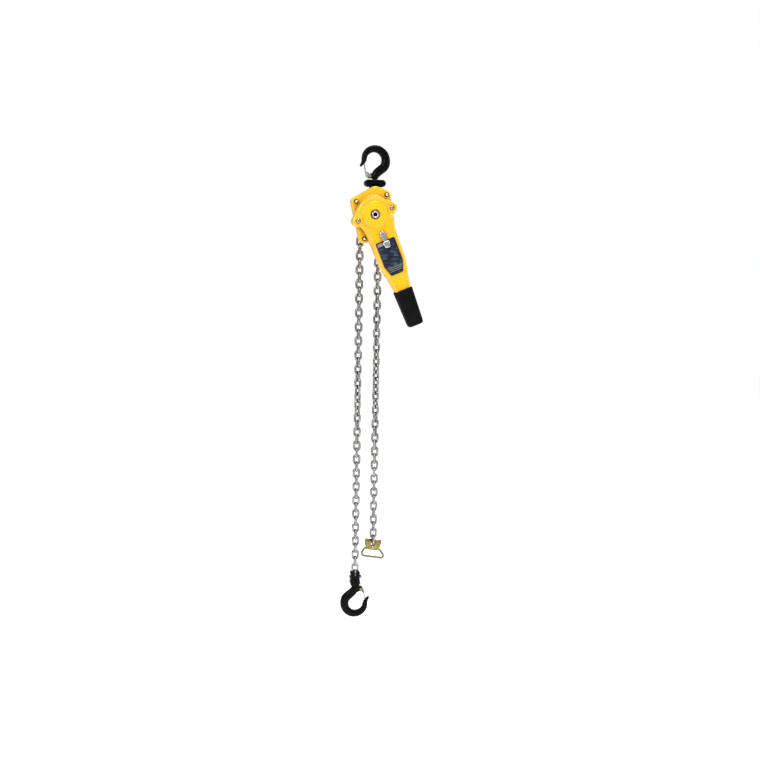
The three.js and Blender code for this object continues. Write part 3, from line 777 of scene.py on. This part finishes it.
def name_plate():
    """The plate and the plain bars that stand where print would be."""
    bm = bmesh.new()
    pan(bm, plate_outline(), ring_in_lever, [(0, -73.9), (0, -75.2), (0.2, -75.45), (0.5, -75.5)])
    new_piece("blank_name_plate", bm, PLATE, "name_plate", smooth_angle=40)
    bm = bmesh.new()
    bars = [(-22.5, -8, 70, 78)]
    for down in (135.0, 139.5, 144.0):
        half = 20.5 - (down - 127) * 0.30
        bars.append((-half, half, down, down + 1.3))
    for left, right, top, foot in bars:
        corners = ((left, top), (right, top), (right, foot), (left, foot))
        faces = (PLATE_FACE, PLATE_FACE - BAR_HEIGHT)
        loft(bm, [[lever_at(x, y, u) for x, u in corners] for y in faces])
    new_piece("name_plate_bars", bm, BRIGHT, body="lever")


SELECTOR_DOWN = 51.4


def selector():
    """Plated change-over lever: washer, arm, thumb tab and the head of its spindle."""
    centre = lever_at(0, 0, SELECTOR_DOWN)
    bm = bmesh.new()
    washer = [(0, -74.2), (8.2, -74.2), (8.2, -76.6), (7.5, -77.2), (0, -77.2)]
    turned(bm, washer, centre, 40, bend=0.4)
    arm = hull_outline([(0, -SELECTOR_DOWN, 7.2), (0, -68, 4.2)], 5)
    skin = [(0, -77.1), (0, -79.0), (0.25, -79.45), (0.7, -79.6)]
    pan(bm, arm, ring_in_lever, skin)
    thumb = [(-4.6, -73.5, 4.0), (4.6, -73.5, 4.0), (-3.2, -82.5, 3.4), (3.2, -82.5, 3.4)]
    tab = hull_outline(thumb, 5)
    pan(bm, tab, ring_in_lever, [(0, -77.4), (0, -80.9), (0.5, -82.0), (1.4, -82.5)])
    new_piece("selector_pressing", bm, BRIGHT, "selector_lever", smooth_angle=40)
    bm = bmesh.new()
    stud = [(0, -79.4), (4.4, -79.4), (4.4, -80.6), (3.2, -81.4), (0, -81.4)]
    turned(bm, stud, centre, 32, bend=0.5)
    new_piece("selector_spindle_head", bm, STEEL, body="selector", smooth_angle=40)


def cross_outline(reach, half):
    """A cross with four equal arms."""
    arm = [(half, half), (half, reach), (-half, reach), (-half, half)]
    points = []
    for quarter in range(4):
        a = quarter * math.pi / 2
        c, s = math.cos(a), math.sin(a)
        points += [Vector((x * c - y * s, x * s + y * c)) for x, y in arm[:3]]
    return anticlockwise(points)


def hub_recess():
    """The dished ring in the lever, deep orange as a coppery tone with painted shade of its recess, the hub's
    bright nose in it, and the dark end of the bore.
    """
    bm = bmesh.new()
    dish = [(9.3, -71.0), (12.6, -71.0), (12.6, -75.6), (11.6, -75.2), (10.2, -73.4), (9.3, -73.0)]
    turned(bm, dish, HUB, 48)
    # The dish's deep orange is partly painted shade of the recess.
    new_piece("hub_dish", bm, RECESS_SHADED_ORANGE, body="lever", smooth_angle=40)
    bm = bmesh.new()
    nose = [(5.3, -74.0), (8.6, -74.0), (8.6, -76.2), (7.9, -76.9), (6.2, -76.9), (5.3, -76.2)]
    turned(bm, nose, HUB, 48, bend=0.4)
    new_piece("hub_nose", bm, BRIGHT, body="drive_shaft", smooth_angle=40)
    bm = bmesh.new()
    end = [(0, -66.0), (5.2, -66.0), (5.2, -68.5), (4.6, -69.0), (0, -69.0)]
    turned(bm, end, HUB, 32)
    new_piece("hub_bore_end", bm, BLACK, body="drive_shaft", smooth_angle=40)


def lever_screws():
    """Round heads with a cross recess, each in a dark cup."""
    for side, sign in (("left", -1), ("right", 1)):
        centre = lever_at(sign * EAR_V, 0, 0)
        bm = bmesh.new()
        cup = [(4.2, -75.2), (5.7, -75.2), (5.7, -76.3), (5.2, -76.7), (4.2, -76.5)]
        turned(bm, cup, centre, 36)
        new_piece(f"{side}_screw_cup", bm, BRONZE, body="lever", smooth_angle=40)
        screw_head(side, centre)


def screw_head(side, centre):
    def place(outline, y):
        return [centre + Vector((p.x * MM, y * MM, p.y * MM)) for p in outline]
    bm = bmesh.new()
    head = circle((0, 0), 4.3, 36)
    crown = [(0, -75.2), (0, -76.2), (0.5, -76.9), (1.4, -77.3)]
    rows = loft(bm, [place(inset(head, i), y) for i, y in crown], close_end=False)
    cross = cross_outline(3.2, 0.75)
    top = [bm.verts.new(p) for p in place(cross, -77.3)]
    fill_between(bm, rows[-1], [top])
    floor = [bm.verts.new(p) for p in place(cross, -75.6)]
    bridge(bm, top, floor)
    bm.faces.new(floor)
    new_piece(f"{side}_screw_head", bm, BRIGHT, f"{side}_lever_screw", smooth_angle=40)


# ---- body ------------------------------------------------------------------------
COVER_CORNER_R = 11.5
COVER_CROWN = (7, 53, 18)
DOME_CENTRE = (4.0, 5.0)
DOME_R = 45.0
COVER_EDGE = 17.1


def cover_outline():
    circles = [(p.x, p.y, COVER_CORNER_R) for p in NUTS] + [COVER_CROWN]
    return eased(resampled(hull_outline(circles), 2.2), 3)


def brake_cover():
    """Deep pressed cover with a dome behind the lever and a pad under each nut."""
    outline = cover_outline()
    bm = bmesh.new()
    skin = [(0, -COVER_EDGE), (0, -35.4), (0.3, -37.5), (0.9, -39.0), (1.7, -39.8), (2.5, -40.0)]
    inner = [(2.5, -COVER_EDGE), (2.5, -36.0), (3.4, -37.5)]
    pan(bm, outline, ring_in_hub, skin, [circle(DOME_CENTRE, DOME_R, 96)], inner)
    dome = [(42.4, -37.5), (DOME_R, -37.5), (DOME_R, -40.0), (44.2, -40.4), (43.6, -41.4),
            (43.0, -44.0), (42.0, -45.7), (40.2, -46.5), (15.0, -46.5), (14.0, -45.8),
            (14.0, -44.0), (40.0, -44.0), (42.0, -42.0)]
    turned(bm, dome, hub_at(DOME_CENTRE[0], 0, DOME_CENTRE[1]), 96)
    pad = [(0, -39.4), (9.6, -39.4), (8.9, -40.5), (7.9, -40.7), (0, -40.7)]
    for p in NUTS:
        turned(bm, pad, hub_at(p.x, 0, p.y), 36, bend=0.4)
    new_piece("brake_cover_pressing", bm, YELLOW, "brake_cover", smooth_angle=45)


def cover_nuts():
    """Bright dome nuts, each on a dark washer, with their studs through the body."""
    dome = [(0, -47.5), (1.5, -47.3), (2.7, -46.6), (3.5, -45.4), (3.8, -44.2), (3.8, -42.0),
            (2.9, -41.8), (2.9, -COVER_EDGE), (0, -COVER_EDGE)]
    washer = [(3.0, -40.8), (5.8, -40.8), (5.8, -42.0), (5.3, -42.6), (3.9, -42.6), (3.0, -42.2)]
    for number, p in enumerate(NUTS, 1):
        centre = hub_at(p.x, 0, p.y)
        bm = bmesh.new()
        turned(bm, dome, centre, 32)
        new_piece(f"dome_nut_{number}", bm, BRIGHT, f"cover_bolt_{number}", smooth_angle=40)
        bm = bmesh.new()
        turned(bm, washer, centre, 32)
        new_piece(f"nut_washer_{number}", bm, BRONZE, body="frame", smooth_angle=40)


REAR_NUTS = [(-36.5, 30), (-5, -48), (40, -44), tuple(NUTS[3])]
FLANGE_CORNER_R = 9
FLANGE_CROWN = (12, 57, 12)


def gear_cover():
    """Back cover: a flange on the side plate and a deep pan over the gears."""
    corners = [(x, z, FLANGE_CORNER_R) for x, z in REAR_NUTS] + [FLANGE_CROWN]
    flange = eased(resampled(hull_outline(corners), 2.2), 3)
    dish = eased(resampled(hull_outline([(4, -12, 27), (4, 12, 27)]), 2.2), 2)

    def rings(outline, steps):
        return [ring_in_hub(inset(outline, i), y) for i, y in steps]
    bm = bmesh.new()
    rim = [(0, COVER_EDGE), (0, 18.9), (0.3, 19.4), (0.8, 19.6)]
    rows = loft(bm, rings(flange, rim), close_start=False, close_end=False)
    wall = [(-1.8, 19.6), (-0.9, 20.2), (-0.3, 21.4), (0, 23.5), (0, 51.0), (0.7, 54.0), (2.3, 56.4),
            (4.6, 57.7), (7.5, 58.0)]
    outside = loft(bm, rings(dish, wall), close_start=False)
    fill_between(bm, rows[-1], [outside[0]])
    hollow = [(2.5, COVER_EDGE), (2.5, 51.0), (5.5, 55.5)]
    inside = loft(bm, rings(dish, hollow), close_start=False)
    fill_between(bm, rows[0], [inside[0]])
    new_piece("gear_cover_pressing", bm, YELLOW, "gear_cover", smooth_angle=45)


def rear_nuts():
    """Hexagon nuts and stud ends on the back cover's flange."""
    washer = [(0, 19.2), (6.6, 19.2), (6.6, 20.4), (6.2, 20.7), (0, 20.7)]
    hexagon = [(4.9, 20.6), (5.2, 20.9), (5.2, 24.2), (4.7, 24.8)]
    stud = [(0, 24.4), (2.8, 24.4), (2.8, 26.6), (2.2, 27.2), (0, 27.2)]
    for number, (x, z) in enumerate(REAR_NUTS, 1):
        bm = bmesh.new()
        turned(bm, washer, hub_at(x, 0, z), 28)
        loft(bm, [ring_in_hub(circle((x, z), r, 6), y) for r, y in hexagon])
        turned(bm, stud, hub_at(x, 0, z), 20)
        new_piece(f"rear_nut_{number}", bm, BRIGHT, body="frame", smooth_angle=30)


# ---- yokes -------------------------------------------------------------------------
TOP_PIN_X = 12


def top_yoke():
    """Forged bar with two cheeks down to the suspension pin."""
    bm = bmesh.new()
    ends = [(TOP_PIN_X + side * 18, 80, 9) for side in (-1, 1)]
    bar = eased(resampled(hull_outline(ends), 1.6), 2)
    steps = [(3.6, -12), (1.8, -11.6), (0.7, -10.6), (0.15, -9.2), (0, -7)]
    skin = steps + [(i, -y) for i, y in reversed(steps)]
    loft(bm, [ring_in_hub(inset(bar, i), y) for i, y in skin])
    circles = [(TOP_PIN_X, 54, 6.6)]
    for side in (-1, 1):
        circles += [(TOP_PIN_X + side * 11, 76, 1.5), (TOP_PIN_X + side * 7, 52.5, 2)]
    cheek = hull_outline(circles, 4)
    for low, high in ((-12, -8.6), (8.6, 12)):
        edge = ((0.5, low), (0, low + 0.5), (0, high - 0.5), (0.5, high))
        loft(bm, [ring_in_hub(inset(cheek, i), y) for i, y in edge])
    new_piece("top_yoke_forging", bm, BLACK, "top_yoke", smooth_angle=50)


# (height, half width, half depth) of the bottom yoke, from its foot to its ears
YOKE_FORM = [(-958, 7.5, 8.5), (-957.4, 9.6, 10.6), (-955.5, 11.6, 12.2), (-951, 13.0, 13.0),
             (-945, 13.3, 13.2), (-939, 12.4, 12.8), (-935, 11.6, 12.4), (-931, 11.5, 12.4),
             (-927, 12.2, 12.6), (-923, 12.8, 12.6), (-920.6, 12.3, 12.0), (-919.3, 10.8, 10.6),
             (-919, 9.2, 9.2)]
YOKE_SLOT = 3.1
YOKE_SEAM = 0.45
YOKE_SLOT_FOOT = -930


def yoke_section(side, z, half_width, half_depth):
    """Half of a rounded rectangle, on one side of the seam; the top leaves a slot for the link."""
    gap = YOKE_SLOT if z > YOKE_SLOT_FOOT else YOKE_SEAM
    ring = [(gap, -half_depth)]
    for k in range(13):
        a = -math.pi / 2 + math.pi * k / 12
        c = abs(squarish(math.cos(a), 0.55))
        s = squarish(math.sin(a), 0.55)
        ring.append((gap + 0.6 + (half_width - gap - 0.6) * c, half_depth * s))
    ring.append((gap, half_depth))
    return [hub_at(LOAD_X + side * x, y, z) for x, y in ring]


def bottom_yoke():
    """Two forged halves round the last link, and the pin that holds it."""
    form = along_curve(YOKE_FORM, 3)
    slot_start = next(i for i, row in enumerate(form) if row[0] > YOKE_SLOT_FOOT)
    form.insert(slot_start, Vector((YOKE_SLOT_FOOT - 0.01, 11.55, 12.4)))
    for name, side in (("left", -1), ("right", 1)):
        bm = bmesh.new()
        loft(bm, [yoke_section(side, *row) for row in form])
        new_piece(f"bottom_yoke_{name}_forging", bm, BLACK, f"bottom_yoke_{name}", smooth_angle=50)
    bm = bmesh.new()
    z = -933.5
    end = [(0, -3), (3.2, -3), (3.9, -2.2), (3.9, 2.2), (3.2, 3), (0, 3)]
    turned(bm, end, hub_at(LOAD_X + 14.0, -1.0, z), 24, bend=0.5, steps=2)
    pin = [(0, -14.5), (3.9, -14.5), (4.3, -14.0), (4.3, -11), (2.8, -11), (2.8, 16), (0, 16)]
    turned(bm, pin, hub_at(LOAD_X, 0, z), 24, "X")
    new_piece("chain_pin_turned", bm, DARK, "chain_pin", smooth_angle=40)


RING_CORNERS = [(-18, -17.8), (-25, -33), (-21, -40.5), (31.5, -40.5), (35, -34), (20, -17.8)]
CLASP_PIN = JOINTS["tail_clasp_swing"]["pos_m"]
CLASP_AXIS = Vector(JOINTS["tail_clasp_swing"]["axis"])
RING_WIRE = 2.7


def clasp_at(along, y, up):
    """Millimetres from the middle of the clasp's pin."""
    rise = Vector((-CLASP_AXIS.z, 0, CLASP_AXIS.x))
    return Vector(CLASP_PIN) + (CLASP_AXIS * along + rise * up + Vector((0, y, 0))) * MM


def tail_ring():
    """Round wire bent to a closed ring with rounded corners."""
    corners = [Vector(p) for p in RING_CORNERS]
    path = []
    for i, corner in enumerate(corners):
        after = corners[(i + 1) % len(corners)]
        path += corner_curve(corners[i - 1], corner, after, 5.0, 0.42, 6)
    rings = []
    for i, p in enumerate(path):
        heading = (path[(i + 1) % len(path)] - path[i - 1]).normalized()
        normal = Vector((-heading.y, heading.x))
        ring = []
        for k in range(12):
            a = 2 * math.pi * k / 12
            q = p + normal * RING_WIRE * math.cos(a)
            ring.append(clasp_at(q.x, RING_WIRE * math.sin(a), q.y))
        rings.append(ring)
    bm = bmesh.new()
    loft(bm, rings, closed=True)
    new_piece("tail_ring_wire", bm, GOLD, "tail_stop_ring", smooth_angle=60)


CLASP_HALF = 21
CLASP_TONGUE = 15
CLASP_GAP = 5.0


def tail_clasp():
    """Sheet folded over the pin and down to the ring, with a gap in the middle for the last link."""
    def box(low, high, section):
        loft(bm, [[clasp_at(x, y, up) for y, up in section] for x in (low, high)])
    bm = bmesh.new()
    for low, high in ((-CLASP_HALF, -CLASP_GAP), (CLASP_GAP, CLASP_HALF)):
        barrel = [(low + 0.5, 6.2), (low, 5.8), (low, 3.4), (high, 3.4), (high, 5.8), (high - 0.5, 6.2)]
        rings = [[clasp_at(x, p.x, p.y) for p in circle((0, 0), r, 28)] for x, r in barrel]
        loft(bm, rings, closed=True)
    for low, high in ((-20, -5.2), (5.2, 20)):
        for near, far in ((-4.8, -3.5), (3.5, 4.8)):
            box(low, high, [(near, -3), (near, -13.4), (far, -13.4), (far, -3)])
    fold = [(-4.9, -19.6), (-4.3, -21.4), (-2.6, -22.4), (2.6, -22.4), (4.3, -21.4), (4.9, -19.6)]
    back = [(3.4, -19.2), (2.2, -20.8), (-2.2, -20.8), (-3.4, -19.2)]
    parts = ((-CLASP_TONGUE, -CLASP_GAP, -4), (-CLASP_GAP, CLASP_GAP, -11),
             (CLASP_GAP, CLASP_TONGUE, -4))
    for low, high, top in parts:
        box(low, high, [(-4.9, top), *fold, (4.9, top), (3.4, top), *back, (-3.4, top)])
    piece = new_piece("tail_clasp_sheet", bm, GOLD, "tail_stop_clasp", smooth_angle=40)
    soften(piece, 0.3)


# ---- stage ---------------------------------------------------------------------------
TARGET = Vector((0, 0, -0.564))
DISTANCE = 2.5
LENS = 46.25
LENS_SHIFT = (0.0127, -0.0038)
AZIMUTH = math.radians(-10.96)
ELEVATION = math.radians(6.85)
ROLL = math.radians(0.96)


def camera():
    """Looks slightly down at the hoist from a little to its left."""
    back = Vector((math.sin(AZIMUTH) * math.cos(ELEVATION), -math.cos(AZIMUTH) * math.cos(ELEVATION),
                   math.sin(ELEVATION)))
    right = Vector((math.cos(AZIMUTH), math.sin(AZIMUTH), 0))
    up = back.cross(right)
    rolled_right = right * math.cos(ROLL) + up * math.sin(ROLL)
    rolled_up = up * math.cos(ROLL) - right * math.sin(ROLL)
    data = bpy.data.cameras.new("camera")
    data.lens = LENS
    data.shift_x, data.shift_y = LENS_SHIFT
    view = bpy.data.objects.new("camera", data)
    turn = Matrix((rolled_right, rolled_up, back)).transposed().to_4x4()
    view.matrix_world = Matrix.Translation(TARGET + back * DISTANCE) @ turn
    bpy.context.scene.collection.objects.link(view)
    bpy.context.scene.camera = view


def area_light(name, place, aim_z, size, power):
    data = bpy.data.lights.new(name, "AREA")
    data.energy = power
    data.shape = "RECTANGLE"
    data.size, data.size_y = size
    lamp = bpy.data.objects.new(name, data)
    lamp.location = place
    lamp.rotation_euler = (Vector((0, 0, aim_z)) - Vector(place)).to_track_quat("-Z", "Y").to_euler()
    bpy.context.scene.collection.objects.link(lamp)


ROOM_LIGHT = 0.42
FLOOR_DROP = 0.06
FLOOR_SIZE = 6
LIGHTS = [
    ("key", (-1.2, -1.8, 0.6), -0.45, (0.8, 1.2), 26),
    ("side", (1.6, -0.9, 0.1), -0.5, (0.4, 1.5), 9),
    ("top", (0.1, -0.4, 1.2), -0.4, (0.9, 0.6), 12),
    ("rim", (0.6, 1.5, 0.4), -0.4, (0.6, 1.0), 8),
]


def room():
    """Soft even light that the camera sees as white."""
    world = bpy.data.worlds.new("studio")
    world.use_nodes = True
    tree = world.node_tree
    background = tree.nodes["Background"]
    background.inputs["Color"].default_value = (1, 1, 1, 1)
    seen = tree.nodes.new("ShaderNodeLightPath")
    level = tree.nodes.new("ShaderNodeMapRange")
    level.inputs["To Min"].default_value = ROOM_LIGHT
    level.inputs["To Max"].default_value = 1.0
    tree.links.new(seen.outputs["Is Camera Ray"], level.inputs["Value"])
    tree.links.new(level.outputs[0], background.inputs["Strength"])
    bpy.context.scene.world = world


def pale_ground():
    """A floor that stays clear of the bottom hook at its lowest."""
    level = Matrix.Translation((0, 0, cad_box[0].z - FLOOR_DROP))
    bm = bmesh.new()
    bmesh.ops.create_grid(bm, x_segments=1, y_segments=1, size=FLOOR_SIZE, matrix=level)
    mesh = bpy.data.meshes.new("floor")
    bm.to_mesh(mesh)
    bm.free()
    mesh.materials.append(pale_floor())
    floor = bpy.data.objects.new("floor", mesh)
    bpy.context.scene.collection.objects.link(floor)


def studio():
    room()
    for light in LIGHTS:
        area_light(*light)
    pale_ground()
    bpy.context.scene.view_settings.view_transform = "Standard"


# ---- build -----------------------------------------------------------------------------
dress_frame()
chains()
hooks()
lever_shell()
grip()
name_plate()
selector()
hub_recess()
lever_screws()
brake_cover()
cover_nuts()
gear_cover()
rear_nuts()
top_yoke()
bottom_yoke()
tail_ring()
tail_clasp()
studio()
camera()
